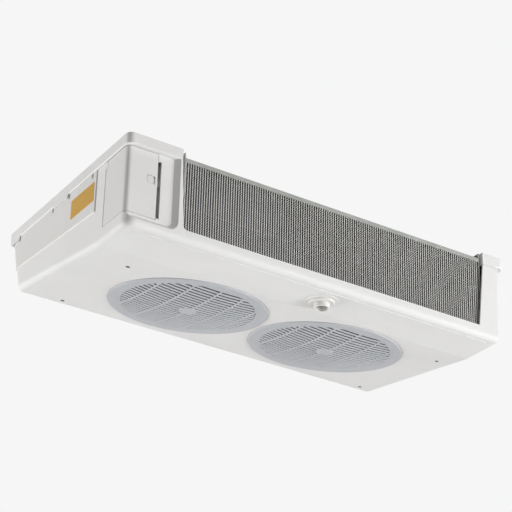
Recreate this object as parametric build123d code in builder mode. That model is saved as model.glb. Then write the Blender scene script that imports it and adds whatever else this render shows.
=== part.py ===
from build123d import *
import os
from math import cos, sin, radians, sqrt

# Ceiling-mounted walk-in unit cooler: a fixed ceiling frame that carries the
# finned coil, and a moulded lower casing (drip tray and fan tray) that swings
# down on two hinges at the back. All sizes in millimetres.
#
# Frame: origin at the centre of the ceiling face, +X along the unit to the
# right-hand end, +Y from the air outlet to the back, +Z up into the ceiling.

os.makedirs("parts", exist_ok=True)

# ---------------------------------------------------------------- dimensions
LENGTH = 835.0          # collar, end to end
DEPTH = 471.0           # collar, front to back
HEIGHT = 195.7          # ceiling face above the lowest datum

WALL = 3.0              # moulded casing wall
FLOOR = 3.5             # moulded casing floor
SHEET = 2.0             # sheet-metal top plate
COLLAR_WALL = 3.0
COLLAR_BOTTOM = 174.0
COLLAR_R = 12.0

CASE_LEFT = 4.0         # outer face of the left wall, from the collar's left end
CASE_RIGHT = 815.0      # foot of the right wall, which leans outwards
RIGHT_LEAN = 0.0225
TROUGH_Z = 14.5         # underside of the drip trough
TROUGH_BACK = 97.6      # where the trough turns into the sloping floor
SLOPE = 0.1455          # rise of the sloping floor, back over front
BACK_Y = 430.0          # bottom back edge
BACK_LEAN = 30.0 / 105.1
FRONT_R = 11.0          # bottom edge radius
CAP_Y = 9.0             # set-back of the left-hand service end
CAP_X = 97.0            # where its bevel starts

OPEN_LEFT = 116.1       # coil mouth at the sill; both jambs lean outwards
OPEN_RIGHT = 768.1
LEFT_JAMB, RIGHT_JAMB = 0.0477, 0.098
SILL_Z = 37.0
RETURN_LEFT = (106.4, 109.4)    # collar ends turned in beside the mouth
RETURN_RIGHT = (781.0, 784.0)

TILT = 0.0              # lean of the coil, degrees
COIL_Y, COIL_Z = 6.5, 32.0
COIL_DEPTH, COIL_HEIGHT = 100.0, 149.6
COIL_X0, COIL_X1 = 118.5, 773.5
TUBE_R = 5.0
ROWS = (19.05, 57.15, 95.25, 133.35)    # up the coil
COLS = (38.0, 55.5, 73.0, 90.5)         # into the coil

FAN_X = (277.1, 586.9)
FAN_Y = 253.2
GUARD_R = 150.0
GRILLE_R = 128.0
DOME = 8.0
SLAT_PITCH = 10.75
SLAT_W = 6.2
HOLE_R = 132.0

DRAIN_X, DRAIN_Y = 444.0, 56.0
SCREWS = ((94.0, 154.0), (94.0, 410.0), (784.0, 154.0), (784.0, 410.0))
HINGE_Y, HINGE_Z = 452.0, 162.0
HINGE_X = (140.0, 700.0)
HANG_DX, HANG_DY, HANG_R = 760.0, 340.0, 4.5


# position helpers: distances from the collar's left end, from its front edge
# and up from the lowest datum
def fx(v):
    return v - LENGTH / 2


def fy(v):
    return v - DEPTH / 2


def fz(v):
    return v - HEIGHT


def side(x):
    """Plane across the unit at x, drawn as (depth, height)."""
    return Plane.YZ.offset(fx(x))


def level(z):
    """Horizontal plane at height z."""
    return Plane.XY.offset(fz(z))


def front(y):
    """Upright plane at depth y, drawn as (length, height), facing the front."""
    return Plane.XZ.offset(-fy(y))


S8 = SLOPE / sqrt(1 + SLOPE * SLOPE)
C8 = 1 / sqrt(1 + SLOPE * SLOPE)
S10, C10 = sin(radians(TILT)), cos(radians(TILT))


def fan_plane(i):
    """Plane on the outside of the sloping floor at a fan, +z into the casing."""
    return Plane(origin=(fx(FAN_X[i]), fy(FAN_Y), fz(SLOPE * FAN_Y)), x_dir=(1, 0, 0), z_dir=(0, -S8, C8))


def coil_plane(x):
    """Plane across the coil at x, drawn as (into the coil, up the coil)."""
    return Plane(origin=(fx(x), fy(COIL_Y), fz(COIL_Z)), x_dir=(0, C10, -S10), z_dir=(1, 0, 0))


def coil_point(s, t):
    return (COIL_Y + s * C10 + t * S10, COIL_Z - s * S10 + t * C10)


F = fan_plane(0)
TO_RIGHT_FAN = Location((FAN_X[1] - FAN_X[0], 0, 0))


def back_y(z):
    """Outer face of the leaning back wall at height z."""
    return BACK_Y + BACK_LEAN * (z - 62.9)


def right_x(z):
    """Outer face of the leaning right wall at height z."""
    return CASE_RIGHT + RIGHT_LEAN * (z - 20)


# =====================================================================
# Lower casing: one moulded shell, cut out of its own outer and inner forms
# =====================================================================
with BuildPart() as outer_form:
    with BuildSketch(side(CASE_LEFT)):
        with BuildLine():
            Polyline(
                (fy(0), fz(188)),
                (fy(0), fz(TROUGH_Z)),
                (fy(TROUGH_BACK), fz(TROUGH_Z)),
                (fy(BACK_Y), fz(62.9)),
                (fy(back_y(188)), fz(188)),
                close=True,
            )
        make_face()
    extrude(amount=CASE_RIGHT + 6 - CASE_LEFT)
    with BuildSketch(front(-10)):
        with BuildLine():
            Polyline((fx(right_x(0)), fz(0)), (fx(840), fz(0)), (fx(840), fz(200)), (fx(right_x(200)), fz(200)), close=True)
        make_face()
    extrude(amount=-520, mode=Mode.SUBTRACT)
    fillet(outer_form.edges().filter_by(Axis.Z).sort_by(Axis.X)[0], radius=20)
    fillet(
        outer_form.edges().filter_by(lambda e: e.length > 100 and e.center().Y > fy(440) and abs(e.tangent_at(0.5).X) < 0.1).sort_by(Axis.X)[0],
        radius=18,
    )
    fillet(
        outer_form.edges().filter_by(
            lambda e: (e.center().Z < fz(64) and e.center().X < fx(CASE_RIGHT) - 1)
            and not (abs(e.center().Y - fy(TROUGH_BACK)) < 1 and abs(e.tangent_at(0.5).X) > 0.9)
            and max(v.Z for v in e.vertices()) < fz(66)
        ),
        radius=FRONT_R,
    )
    fillet(
        outer_form.edges().filter_by(
            lambda e: all(abs(v.X - fx(right_x(v.Z + HEIGHT))) < 0.02 for v in e.vertices()) and e.center().Z < fz(187)
        ),
        radius=3.0,
    )
    # set-back face of the left-hand service end, with its bevelled edge
    with BuildSketch(front(CAP_Y)) as cap_face:
        with BuildLine():
            Polyline(
                (fx(-20), fz(230)), (fx(-20), fz(38)), (fx(CAP_X), fz(38)), (fx(CAP_X), fz(230)), close=True
            )
        make_face()
        fillet(cap_face.vertices().sort_by(Axis.Y)[:2].sort_by(Axis.X)[-1], radius=10)
    extrude(amount=12, taper=-45, mode=Mode.SUBTRACT)
    fillet(
        outer_form.edges().filter_by(
            lambda e: e.length > 100 and abs(e.tangent_at(0.5).Z) > 0.99 and e.center().X < fx(30) and abs(e.center().Y - fy(CAP_Y)) < 1.5
        ),
        radius=9,
    )

with BuildPart() as inner_form:
    with BuildSketch(side(CASE_LEFT + WALL)):
        with BuildLine():
            Polyline(
                (fy(WALL), fz(200)),
                (fy(WALL), fz(TROUGH_Z + FLOOR)),
                (fy(99.4), fz(TROUGH_Z + FLOOR)),
                (fy(427.7), fz(65.77)),
                (fy(back_y(200) - 3.12), fz(200)),
                close=True,
            )
        make_face()
    extrude(amount=CASE_RIGHT + 6 - CASE_LEFT - WALL)
    with BuildSketch(front(-10)):
        with BuildLine():
            Polyline(
                (fx(right_x(0) - WALL), fz(0)), (fx(840), fz(0)), (fx(840), fz(210)), (fx(right_x(210) - WALL), fz(210)), close=True
            )
        make_face()
    extrude(amount=-520, mode=Mode.SUBTRACT)
    fillet(inner_form.edges().filter_by(Axis.Z).sort_by(Axis.X)[0], radius=17)
    fillet(
        inner_form.edges().filter_by(lambda e: e.length > 100 and e.center().Y > fy(440) and abs(e.tangent_at(0.5).X) < 0.1).sort_by(Axis.X)[0],
        radius=15,
    )
    fillet(
        inner_form.edges().filter_by(
            lambda e: (e.center().Z < fz(67) and e.center().X < fx(CASE_RIGHT - WALL) - 1)
            and not (abs(e.center().Y - fy(99.4)) < 1 and abs(e.tangent_at(0.5).X) > 0.9)
            and max(v.Z for v in e.vertices()) < fz(69)
        ),
        radius=FRONT_R - WALL,
    )
    with BuildSketch(front(CAP_Y + WALL)) as cap_inner:
        with BuildLine():
            Polyline(
                (fx(-20), fz(230)), (fx(-20), fz(36.76)), (fx(98.24), fz(36.76)), (fx(98.24), fz(230)), close=True
            )
        make_face()
        fillet(cap_inner.vertices().sort_by(Axis.Y)[:2].sort_by(Axis.X)[-1], radius=11)
    extrude(amount=13, taper=-45, mode=Mode.SUBTRACT)
    fillet(
        inner_form.edges().filter_by(
            lambda e: e.length > 100 and abs(e.tangent_at(0.5).Z) > 0.99 and e.center().X < fx(32) and abs(e.center().Y - fy(CAP_Y + WALL)) < 1.5
        ),
        radius=6,
    )

# the bare shell, before its openings
with BuildPart() as shell_form:
    add(outer_form.part)
    add(inner_form.part, mode=Mode.SUBTRACT)

COVER_X, COVER_Y = 65.0, 84.2        # cover's free edge, and its hinge axis
COVER_AXIS_X = 7.0
COVER_Z0, COVER_Z1 = 44.5, 173.7
EAR_LOW, EAR_HIGH = 43.5, 161.0

with BuildPart() as lower_casing:
    add(shell_form.part)
    # embossed drip panel: a shallow wedge that fades out up the slope
    with BuildSketch(side(28)):
        with BuildLine():
            Polyline(
                (fy(16), fz(16.0)), (fy(16), fz(13.6)), (fy(112), fz(SLOPE * 112)), (fy(112), fz(17.5)), close=True
            )
        make_face()
    extrude(amount=773)
    fillet(
        lower_casing.edges().filter_by(
            lambda e: e.length < 2 and abs(e.tangent_at(0.5).Z) > 0.99 and abs(e.center().Y - fy(16)) < 0.1 and e.center().Z < fz(14.6)
        ),
        radius=13,
    )
    # boss round the drain
    with BuildSketch(level(13.0)):
        with Locations((fx(DRAIN_X), fy(DRAIN_Y))):
            Circle(31.5)
    extrude(amount=3)
    # screw bosses on the floor
    for sx, sy in SCREWS:
        with BuildSketch(level(SLOPE * sy + 2.2)):
            with Locations((fx(sx), fy(sy))):
                Circle(9)
        extrude(amount=9.5)
    # bosses for the motor brackets
    with BuildSketch(F.offset(2.5)):
        with PolarLocations(158, 4, start_angle=45):
            Circle(7)
    extrude(amount=6.5)
    with BuildSketch(fan_plane(1).offset(2.5)):
        with PolarLocations(158, 4, start_angle=45):
            Circle(7)
    extrude(amount=6.5)
    # ears that hold the cover's hinge pins
    for z0, z1 in ((34.0, EAR_LOW), (EAR_HIGH, COVER_Z1)):
        with BuildSketch(level(z0)):
            with Locations((fx(7.0), fy(85.6))):
                Rectangle(6.0, 9.2)
        extrude(amount=z1 - z0)

    # top edges
    with BuildSketch(level(172.3)):
        with Locations((fx(LENGTH / 2), fy(480))):
            Rectangle(LENGTH + 40, 110)
    extrude(amount=60, mode=Mode.SUBTRACT)
    with BuildSketch(level(169.5)):
        with Locations((fx(800), fy(0))):
            Rectangle(60, 40)
    extrude(amount=60, mode=Mode.SUBTRACT)
    with BuildSketch(level(COVER_Z1)):
        with Locations((fx(23), fy(28.8))):
            Rectangle(86, 117.6)
        with Locations((fx(110.75), fy(0))):
            Rectangle(28.5, 40)
    extrude(amount=60, mode=Mode.SUBTRACT)
    with BuildSketch(level(176.5)):
        with Locations((fx(80), fy(0))):
            Rectangle(40, 40)
    extrude(amount=60, mode=Mode.SUBTRACT)
    # coil mouth
    with BuildSketch(front(25)) as mouth:
        with BuildLine():
            Polyline(
                (fx(OPEN_LEFT - 193 * LEFT_JAMB), fz(230)), (fx(OPEN_LEFT), fz(SILL_Z)), (fx(OPEN_RIGHT), fz(SILL_Z)),
                (fx(OPEN_RIGHT + 193 * RIGHT_JAMB), fz(230)), close=True,
            )
        make_face()
        fillet(mouth.vertices().sort_by(Axis.Y)[:2].sort_by(Axis.X)[0], radius=9)
    extrude(amount=60, mode=Mode.SUBTRACT)
    # opening behind the access cover, and the finger slot beside it
    with BuildSketch(level(EAR_LOW)):
        with Locations((fx(26), fy(37.6))):
            Rectangle(80, 100)
    extrude(amount=EAR_HIGH - EAR_LOW, mode=Mode.SUBTRACT)
    with BuildSketch(level(EAR_HIGH - 0.2)):
        with Locations((fx(26), fy(31.0))):
            Rectangle(80, 100)
    extrude(amount=60, mode=Mode.SUBTRACT)
    with BuildSketch(front(14)):
        with Locations((fx(68), fz(103.5))):
            Rectangle(8, 113)
    extrude(amount=20, mode=Mode.SUBTRACT)
    # channel that closes the finger slot from behind
    with BuildSketch(level(44)):
        with Locations((fx(73), fy(22.0))):
            Rectangle(22, 2)
        with Locations((fx(82.25), fy(16.5))):
            Rectangle(3.5, 13)
    extrude(amount=119)
    # bores for the cover's hinge pins
    with BuildSketch(level(35.5)):
        with Locations((fx(COVER_AXIS_X), fy(COVER_Y))):
            Circle(1.30)
    extrude(amount=140, mode=Mode.SUBTRACT)
    # fan openings with their guard seats
    for i in (0, 1):
        with BuildSketch(fan_plane(i).offset(-5)):
            Circle(GUARD_R + 1.2)
        extrude(amount=6.5, mode=Mode.SUBTRACT)
        with BuildSketch(fan_plane(i)):
            Circle(HOLE_R)
        extrude(amount=12, mode=Mode.SUBTRACT)
        with BuildSketch(fan_plane(i)):
            with PolarLocations(141, 4, start_angle=0):
                Circle(1.8)
        extrude(amount=12, mode=Mode.SUBTRACT)
        with BuildSketch(fan_plane(i).offset(5)):
            with PolarLocations(158, 4, start_angle=45):
                Circle(2.0)
        extrude(amount=12, mode=Mode.SUBTRACT)
    # drain hole
    with BuildSketch(level(5)):
        with Locations((fx(DRAIN_X), fy(DRAIN_Y))):
            Circle(15.8)
    extrude(amount=20, mode=Mode.SUBTRACT)
    # recessed holes for the captive casing screws
    for sx, sy in SCREWS:
        with BuildSketch(level(0)):
            with Locations((fx(sx), fy(sy))):
                Circle(4.6)
        extrude(amount=SLOPE * sy + 5.0, mode=Mode.SUBTRACT)
        with BuildSketch(level(10)):
            with Locations((fx(sx), fy(sy))):
                Circle(2.3)
        extrude(amount=100, mode=Mode.SUBTRACT)
    # notches in the back wall where the hinges pass
    with BuildSketch(front(480)):
        with Locations(*[(fx(hx), fz(165)) for hx in HINGE_X]):
            Rectangle(46, 34)
    extrude(amount=50, mode=Mode.SUBTRACT)
lower_casing.part.label = "lower_casing"
export_step(lower_casing.part, "parts/lower_casing.step")

# ---------------------------------------------------------------- access cover
with BuildPart() as cover_zone:
    with BuildSketch(level(COVER_Z0)):
        with Locations((fx((COVER_X - 20) / 2), fy((79.4 - 20) / 2))):
            Rectangle(COVER_X + 20, 79.4 + 20)
    extrude(amount=COVER_Z1 - COVER_Z0)

with BuildPart() as access_cover:
    add(shell_form.part)
    add(cover_zone.part, mode=Mode.INTERSECT)
    # hinge barrel down the cover's rear edge
    with BuildSketch(level(COVER_Z0)):
        with Locations((fx(5.5), fy(81.6))):
            Rectangle(3, 5.6)
        with Locations((fx(COVER_AXIS_X), fy(COVER_Y))):
            Circle(3)
    extrude(amount=EAR_HIGH - 0.8 - COVER_Z0)
    # guide that keeps the latch behind the cover
    with BuildSketch(level(106)):
        with Locations((fx(51.5), fy(16.9))):
            Rectangle(9, 12.2)
        with Locations((fx(51.5), fy(16.5))):
            Rectangle(9.4, 9.0, mode=Mode.SUBTRACT)
    extrude(amount=27)
    with BuildSketch(level(106)):
        with Locations((fx(51.5), fy(16.9))):
            Rectangle(9, 12.2)
    extrude(amount=4)
    with BuildSketch(level(129)):
        with Locations((fx(51.5), fy(16.9))):
            Rectangle(9, 12.2)
    extrude(amount=4)
    # window for the latch's thumb tab
    with BuildSketch(front(12.6)):
        with Locations((fx(52.8), fz(119.5))):
            Rectangle(16.4, 16.0)
    extrude(amount=8, mode=Mode.SUBTRACT)
    with BuildSketch(level(40)):
        with Locations((fx(COVER_AXIS_X), fy(COVER_Y))):
            Circle(1.30)
    extrude(amount=140, mode=Mode.SUBTRACT)
access_cover.part.label = "access_cover"
export_step(access_cover.part, "parts/access_cover.step")

with BuildPart() as cover_latch:
    with BuildSketch(front(18)):
        with Locations((fx(58), fz(119.5))):
            Rectangle(34, 13)
    extrude(amount=2)
    with BuildSketch(front(16.5)) as tab:
        with Locations((fx(51.5), fz(119.5))):
            RectangleRounded(12.6, 14.6, 1.2)
    extrude(amount=7.2)
    fillet(cover_latch.faces().sort_by(Axis.Y)[0].edges(), radius=0.8)
cover_latch.part.label = "cover_latch"
export_step(cover_latch.part, "parts/cover_latch.step")

with BuildPart() as cover_hinge_pins:
    with BuildSketch(level(37)):
        with Locations((fx(COVER_AXIS_X), fy(COVER_Y))):
            Circle(1.25)
    extrude(amount=34)
    with BuildSketch(level(138)):
        with Locations((fx(COVER_AXIS_X), fy(COVER_Y))):
            Circle(1.25)
    extrude(amount=32)
cover_hinge_pins.part.label = "cover_hinge_pins"
export_step(cover_hinge_pins.part, "parts/cover_hinge_pins.step")

# ---------------------------------------------------------------- side panel
PANEL_T = 2.0
with BuildPart() as panel_outer:
    with BuildSketch(side(CASE_LEFT - PANEL_T)):
        with BuildLine():
            Polyline(
                (fy(100), fz(60)), (fy(back_y(60) + 2.08), fz(60)), (fy(back_y(190) + 2.08), fz(190)), (fy(100), fz(190)), close=True
            )
        make_face()
    extrude(amount=56)
    fillet(
        panel_outer.edges().filter_by(lambda e: e.length > 100 and e.center().Y > fy(440) and abs(e.tangent_at(0.5).X) < 0.1).sort_by(Axis.X)[0],
        radius=20,
    )

with BuildPart() as panel_zone:
    with BuildSketch(side(-5)):
        with BuildLine():
            Polyline(
                (fy(118), fz(89.0)), (fy(480), fz(112.3)), (fy(480), fz(168)), (fy(422), fz(168)), (fy(422), fz(173.5)), (fy(118), fz(173.5)), close=True
            )
        make_face()
    extrude(amount=60)

TICKS = (134.0, 223.0, 287.0, 425.0)
with BuildPart() as side_panel:
    add(panel_outer.part)
    add(outer_form.part, mode=Mode.SUBTRACT)
    add(panel_zone.part, mode=Mode.INTERSECT)
    with BuildSketch(side(0)):
        with Locations(*[(fy(t), fz(172)) for t in TICKS[:3]], (fy(423), fz(172))):
            Rectangle(6.0, 16)
    extrude(amount=CASE_LEFT, mode=Mode.SUBTRACT)
    # softened lower and front edges
    chamfer(
        side_panel.faces().filter_by(lambda f: abs(f.center().X - fx(2)) < 0.01).sort_by(Axis.Z)[0].edges().filter_by(
            lambda e: e.center().Z < fz(112) or e.center().Y < fy(118.5)
        ),
        length=0.9,
    )
side_panel.part.label = "side_panel"
export_step(side_panel.part, "parts/side_panel.step")

with BuildPart() as side_panel_clips:
    with BuildSketch(side(1.6)):
        with Locations(*[(fy(t - 1.2), fz(168.6)) for t in TICKS[:3]], (fy(421.8), fz(168.6))):
            Rectangle(3.2, 8.6)
    extrude(amount=2.4)
side_panel_clips.part.label = "side_panel_clips"
export_step(side_panel_clips.part, "parts/side_panel_clips.step")

with BuildPart() as blank_plate:
    with BuildSketch(side(1.5)):
        with Locations((fy(167.5), fz(133.5))):
            RectangleRounded(87, 39, 1.5)
    extrude(amount=0.5)
blank_plate.part.label = "blank_plate"
export_step(blank_plate.part, "parts/blank_plate.step")

# =====================================================================
# Fixed ceiling frame
# =====================================================================
with BuildPart() as top_plate:
    with BuildSketch(level(HEIGHT - SHEET)) as plate_outline:
        with BuildLine():
            Polyline(
                (fx(3), fy(3)), (fx(RETURN_LEFT[0]), fy(3)), (fx(RETURN_LEFT[0]), fy(34)), (fx(RETURN_LEFT[1] + 0.2), fy(34)),
                (fx(RETURN_LEFT[1] + 0.2), fy(32.5)), (fx(RETURN_RIGHT[0] - 0.2), fy(32.5)), (fx(RETURN_RIGHT[0] - 0.2), fy(34)),
                (fx(RETURN_RIGHT[1]), fy(34)), (fx(RETURN_RIGHT[1]), fy(3)),
                (fx(832), fy(3)), (fx(832), fy(468)), (fx(3), fy(468)), close=True,
            )
        make_face()
        fillet(plate_outline.vertices().filter_by(lambda v: abs(abs(v.X) - 414.5) < 0.1), radius=COLLAR_R - COLLAR_WALL)
    extrude(amount=SHEET)
    with BuildSketch(level(HEIGHT - SHEET - 1)):
        with GridLocations(HANG_DX, HANG_DY, 2, 2):
            Circle(HANG_R)
    extrude(amount=SHEET + 2, mode=Mode.SUBTRACT)
top_plate.part.label = "top_plate"
export_step(top_plate.part, "parts/top_plate.step")

with BuildPart() as top_collar:
    with BuildSketch(level(COLLAR_BOTTOM)) as collar_outline:
        with Locations((0, 0)):
            RectangleRounded(LENGTH, DEPTH, COLLAR_R)
    extrude(amount=HEIGHT - COLLAR_BOTTOM)
    # deeper front edge over the right-hand cap
    with BuildSketch(level(170.2)):
        with Locations((fx(RETURN_RIGHT[0] + 17.7), fy(6.0))):
            Rectangle(35.4, 12)
    extrude(amount=6)
    fillet(
        top_collar.faces().filter_by(lambda f: abs(f.normal_at().Z + 1) < 1e-3).sort_by(Axis.Z)[-1].outer_wire().edges().filter_by(
            lambda e: e.center().X < fx(400) or e.center().Y > fy(15) or e.center().X > fx(819)
        ),
        radius=2.2,
    )
    # inside, above the lower flange
    with BuildSketch(level(COLLAR_BOTTOM + 3)) as pocket:
        with BuildLine():
            Polyline(
                (fx(3), fy(3)), (fx(RETURN_LEFT[0]), fy(3)), (fx(RETURN_LEFT[0]), fy(34)), (fx(RETURN_RIGHT[1]), fy(34)),
                (fx(RETURN_RIGHT[1]), fy(3)), (fx(832), fy(3)), (fx(832), fy(468)), (fx(3), fy(468)), close=True,
            )
        make_face()
        fillet(pocket.vertices().filter_by(lambda v: abs(abs(v.X) - 414.5) < 0.1), radius=COLLAR_R - COLLAR_WALL)
    extrude(amount=60, mode=Mode.SUBTRACT)
    # opening that the casing's walls stand in
    with BuildSketch(level(160)) as throat:
        with BuildLine():
            Polyline(
                (fx(3.5), fy(8.5)), (fx(RETURN_LEFT[0]), fy(8.5)), (fx(RETURN_LEFT[0]), fy(34)), (fx(RETURN_RIGHT[1]), fy(34)),
                (fx(RETURN_RIGHT[1]), fy(8.5)), (fx(821), fy(8.5)), (fx(821), fy(463.5)), (fx(3.5), fy(463.5)), close=True,
            )
        make_face()
        fillet(throat.vertices().filter_by(lambda v: abs(v.X - fx(3.5)) < 0.1), radius=9)
    extrude(amount=60, mode=Mode.SUBTRACT)
    # open front for the coil
    with BuildSketch(level(160)):
        with Locations((fx((RETURN_LEFT[1] + RETURN_RIGHT[0]) / 2), fy(10))):
            Rectangle(RETURN_RIGHT[0] - RETURN_LEFT[1], 60)
    extrude(amount=60, mode=Mode.SUBTRACT)
    # tongues that hang over the side panel and over its rear corner
    for y0, y1 in ((225, 284), (420, 458)):
        with BuildSketch(side(0)):
            with BuildLine():
                Polyline((fy(y0), fz(176)), (fy(y0 + 3), fz(168)), (fy(y1 - 3), fz(168)), (fy(y1), fz(176)), close=True)
            make_face()
        extrude(amount=1.3)
    # holes for the pipes, the cable gland and the end-plate screws
    with BuildSketch(front(475)):
        with Locations((fx(74), fz(184)), (fx(50), fz(184))):
            Circle(9.0)
        with Locations((fx(24), fz(184))):
            Circle(7.5)
    extrude(amount=20, mode=Mode.SUBTRACT)
    with BuildSketch(side(100)):
        with Locations((fy(12), fz(188.2)), (fy(24), fz(188.2))):
            Circle(1.9)
    extrude(amount=700, mode=Mode.SUBTRACT)
top_collar.part.label = "top_collar"
export_step(top_collar.part, "parts/top_collar.step")

with BuildPart() as top_baffle:
    # lip over the top of the fins, shelf, and upstand under the top plate
    with BuildSketch(side(118.2)):
        with BuildLine():
            Polyline(
                (fy(5.2), fz(183.2)), (fy(5.2), fz(175)), (fy(6.2), fz(175)), (fy(6.2), fz(182.2)), (fy(32.3), fz(182.2)),
                (fy(32.3), fz(HEIGHT)), (fy(31.1), fz(HEIGHT)), (fy(31.1), fz(183.2)), close=True,
            )
        make_face()
    extrude(amount=656.1)
top_baffle.part.label = "top_baffle"
export_step(top_baffle.part, "parts/top_baffle.step")

# ---------------------------------------------------------------- coil
with BuildPart() as coil_fin_pack:
    with BuildSketch(coil_plane(COIL_X0)):
        with Locations((COIL_DEPTH / 2, COIL_HEIGHT / 2)):
            Rectangle(COIL_DEPTH, COIL_HEIGHT)
    extrude(amount=COIL_X1 - COIL_X0)
    # hollow bays between groups of fins, open at the back
    BAYS = 13
    PITCH = (COIL_X1 - COIL_X0 - 4.0) / BAYS
    for k in range(BAYS):
        with BuildSketch(coil_plane(COIL_X0 + 4.0 + k * PITCH)):
            with Locations((3 + COIL_DEPTH / 2, COIL_HEIGHT / 2)):
                Rectangle(COIL_DEPTH, COIL_HEIGHT + 10)
        extrude(amount=PITCH - 4.0, mode=Mode.SUBTRACT)
    with BuildSketch(coil_plane(COIL_X0 - 5)):
        with Locations(*[(s, t) for s in COLS for t in ROWS]):
            Circle(TUBE_R + 0.1)
    extrude(amount=COIL_X1 - COIL_X0 + 10, mode=Mode.SUBTRACT)
coil_fin_pack.part.label = "coil_fin_pack"
export_step(coil_fin_pack.part, "parts/coil_fin_pack.step")

# the front edge is cut back so the casing can swing past it
PLATES = (116.0, 774.5)
for name, px in (("left", PLATES[0]), ("right", PLATES[1])):
    with BuildPart() as end_plate:
        with BuildSketch(side(px)):
            with BuildLine():
                Polyline(
                    (fy(5.7), fz(118)), (fy(8.8), fz(95)), (fy(13.4), fz(70)), (fy(18.2), fz(50)), (fy(22.8), fz(33.5)),
                    (fy(108), fz(33.5)), (fy(108), fz(193.7)), (fy(5.7), fz(193.7)), close=True,
                )
            make_face()
        extrude(amount=2)
        with BuildSketch(coil_plane(px - 5)):
            with Locations(*[(s, t) for s in COLS for t in ROWS]):
                Circle(TUBE_R + 0.1)
        extrude(amount=12, mode=Mode.SUBTRACT)
        with BuildSketch(side(px - 5)):
            with Locations((fy(12), fz(188.2)), (fy(24), fz(188.2))):
                Circle(1.9)
        extrude(amount=12, mode=Mode.SUBTRACT)
    end_plate.part.label = "coil_end_plate_" + name
    export_step(end_plate.part, "parts/coil_end_plate_" + name + ".step")

with BuildPart() as end_plate_screws:
    for x0, x1, h0, h1 in ((RETURN_LEFT[0], 118.0, 118.0, 119.9), (774.5, RETURN_RIGHT[1], 772.4, 774.5)):
        with BuildSketch(side(x0)):
            with Locations((fy(12), fz(188.2)), (fy(24), fz(188.2))):
                Circle(1.8)
        extrude(amount=x1 - x0)
        with BuildSketch(side(h0)):
            with Locations((fy(12), fz(188.2)), (fy(24), fz(188.2))):
                Circle(3.4)
        extrude(amount=h1 - h0)
end_plate_screws.part.label = "end_plate_screws"
export_step(end_plate_screws.part, "parts/end_plate_screws.step")

# straight tubes: the front column reaches the liquid header, the rear
# column the suction header, the two middle columns stop at their bends
TUBE_END_R = 778.0
with BuildPart() as coil_tubes:
    for s, x0 in zip(COLS, (56.2, 112.0, 112.0, 83.2)):
        with BuildSketch(coil_plane(x0)):
            with Locations(*[(s, t) for t in ROWS]):
                Circle(TUBE_R)
                Circle(TUBE_R - 0.8, mode=Mode.SUBTRACT)
        extrude(amount=TUBE_END_R - x0)
coil_tubes.part.label = "coil_tubes"
export_step(coil_tubes.part, "parts/coil_tubes.step")

with BuildPart() as return_bends:
    for x, pairs in ((TUBE_END_R, ((0, 1), (2, 3))), (112.0, ((1, 2),))):
        for a, b in pairs:
            for t in ROWS:
                pl = coil_plane(x)
                with BuildSketch(pl):
                    with Locations((COLS[a], t)):
                        Circle(TUBE_R)
                y0, z0 = coil_point((COLS[a] + COLS[b]) / 2, t)
                turn = 1 if x > 400 else -1
                revolve(axis=Axis((fx(x), fy(y0), fz(z0)), (0, turn * S10, turn * C10)), revolution_arc=180)
return_bends.part.label = "return_bends"
export_step(return_bends.part, "parts/return_bends.step")

with BuildPart() as coil_bottom_seal:
    with BuildSketch(side(118.6)):
        with Locations((fy(5.8), fz(36.8))):
            Rectangle(1.2, 3.6)
    extrude(amount=655.2)
    fillet(coil_bottom_seal.edges().filter_by(Axis.X).group_by(Axis.Y)[0], radius=0.4)
coil_bottom_seal.part.label = "coil_bottom_seal"
export_step(coil_bottom_seal.part, "parts/coil_bottom_seal.step")

# ---------------------------------------------------------------- pipework
def header_plane(x, s, t):
    y, z = coil_point(s, t)
    return Plane(origin=(fx(x), fy(y), fz(z)), x_dir=(1, 0, 0), z_dir=(0, S10, C10))


PIPE_Z = 184.0
with BuildPart() as suction_header:
    with BuildSketch(header_plane(74, COLS[3], 10)):
        Circle(9)
    extrude(amount=132)
    with BuildSketch(coil_plane(90)):
        with Locations(*[(COLS[3], t) for t in ROWS]):
            Circle(TUBE_R)
    extrude(amount=-6.8, mode=Mode.SUBTRACT)
suction_header.part.label = "suction_header"
export_step(suction_header.part, "parts/suction_header.step")

sy0, sz0 = coil_point(COLS[3], 142)
sy1 = sy0 + (PIPE_Z - sz0) * S10 / C10
with BuildPart() as suction_line:
    with BuildLine() as suction_path:
        FilletPolyline(
            (fx(74), fy(sy0), fz(sz0)), (fx(74), fy(sy1), fz(PIPE_Z)), (fx(74), fy(471.5), fz(PIPE_Z)), radius=8.0
        )
    with BuildSketch(header_plane(74, COLS[3], 142)):
        Circle(7)
    sweep(path=suction_path.wires()[0])
    with BuildSketch(front(471.5)):
        with Locations((fx(74), fz(PIPE_Z))):
            Circle(6.35)
            Circle(5.35, mode=Mode.SUBTRACT)
    extrude(amount=-10)
suction_line.part.label = "suction_line"
export_step(suction_line.part, "parts/suction_line.step")

with BuildPart() as liquid_header:
    with BuildSketch(header_plane(50, COLS[0], 10)):
        Circle(6)
    extrude(amount=132)
    with BuildSketch(coil_plane(62)):
        with Locations(*[(COLS[0], t) for t in ROWS]):
            Circle(TUBE_R)
    extrude(amount=-5.8, mode=Mode.SUBTRACT)
liquid_header.part.label = "liquid_header"
export_step(liquid_header.part, "parts/liquid_header.step")

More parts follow.
